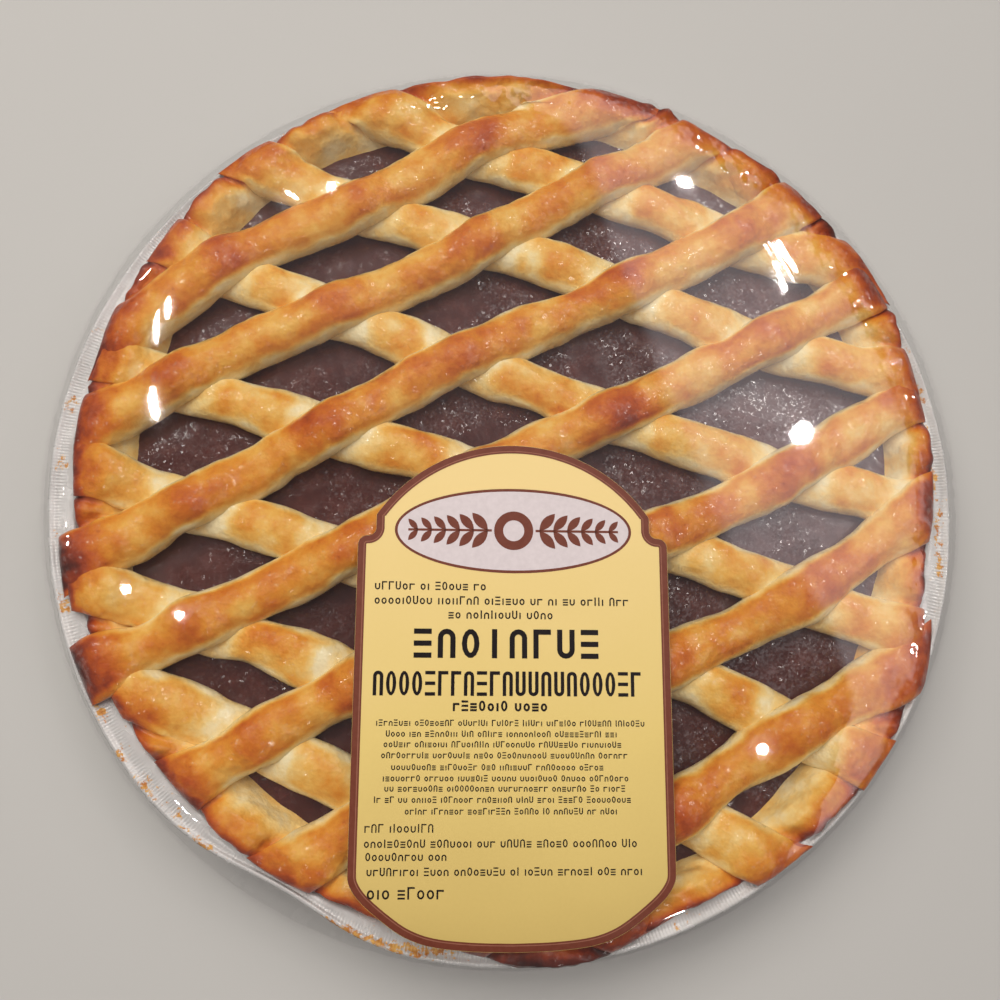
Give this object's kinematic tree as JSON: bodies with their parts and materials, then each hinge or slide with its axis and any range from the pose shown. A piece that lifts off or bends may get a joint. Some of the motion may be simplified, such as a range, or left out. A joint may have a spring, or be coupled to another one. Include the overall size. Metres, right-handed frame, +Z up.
{
  "type": "wrapped jam crostata",
  "caption": "Round lattice-topped jam tart in a crimped foil tin, wrapped in clear film with an arched paper label on top.",
  "frame": {"origin": "on the surface that it rests on, under the middle of the tin", "axes": "+Z up; -Y towards the foot of the label; +X to the right of someone reading the label"},
  "size_m": [0.2426, 0.2426, 0.0346],
  "materials": {
    "foil": "thin bright foil with fine pleats on the flange and spots of baked-on egg wash",
    "shell_pastry": "baked shortcrust, pale beside the jam and deep brown at its outer edge",
    "jam": "dark wet jam with a fine bumpy skin",
    "strip_pastry": "egg-washed shortcrust, golden brown on top and pale at its sides",
    "film": "clear glossy stretched food film with fine tension wrinkles",
    "paper": "satin printed paper"
  },
  "bodies": {
    "root": {"tin": "foil", "crust": "shell_pastry", "jam": "jam", "upper_strip_1": "strip_pastry", "upper_strip_2": "strip_pastry", "upper_strip_3": "strip_pastry", "upper_strip_4": "strip_pastry", "upper_strip_5": "strip_pastry", "upper_strip_6": "strip_pastry", "upper_strip_7": "strip_pastry", "lower_strip_1": "strip_pastry", "lower_strip_2": "strip_pastry", "lower_strip_3": "strip_pastry", "lower_strip_4": "strip_pastry", "lower_strip_5": "strip_pastry", "lower_strip_6": "strip_pastry", "lower_strip_7": "strip_pastry", "film": "film", "label": "paper"}
  },
  "joints": []
}
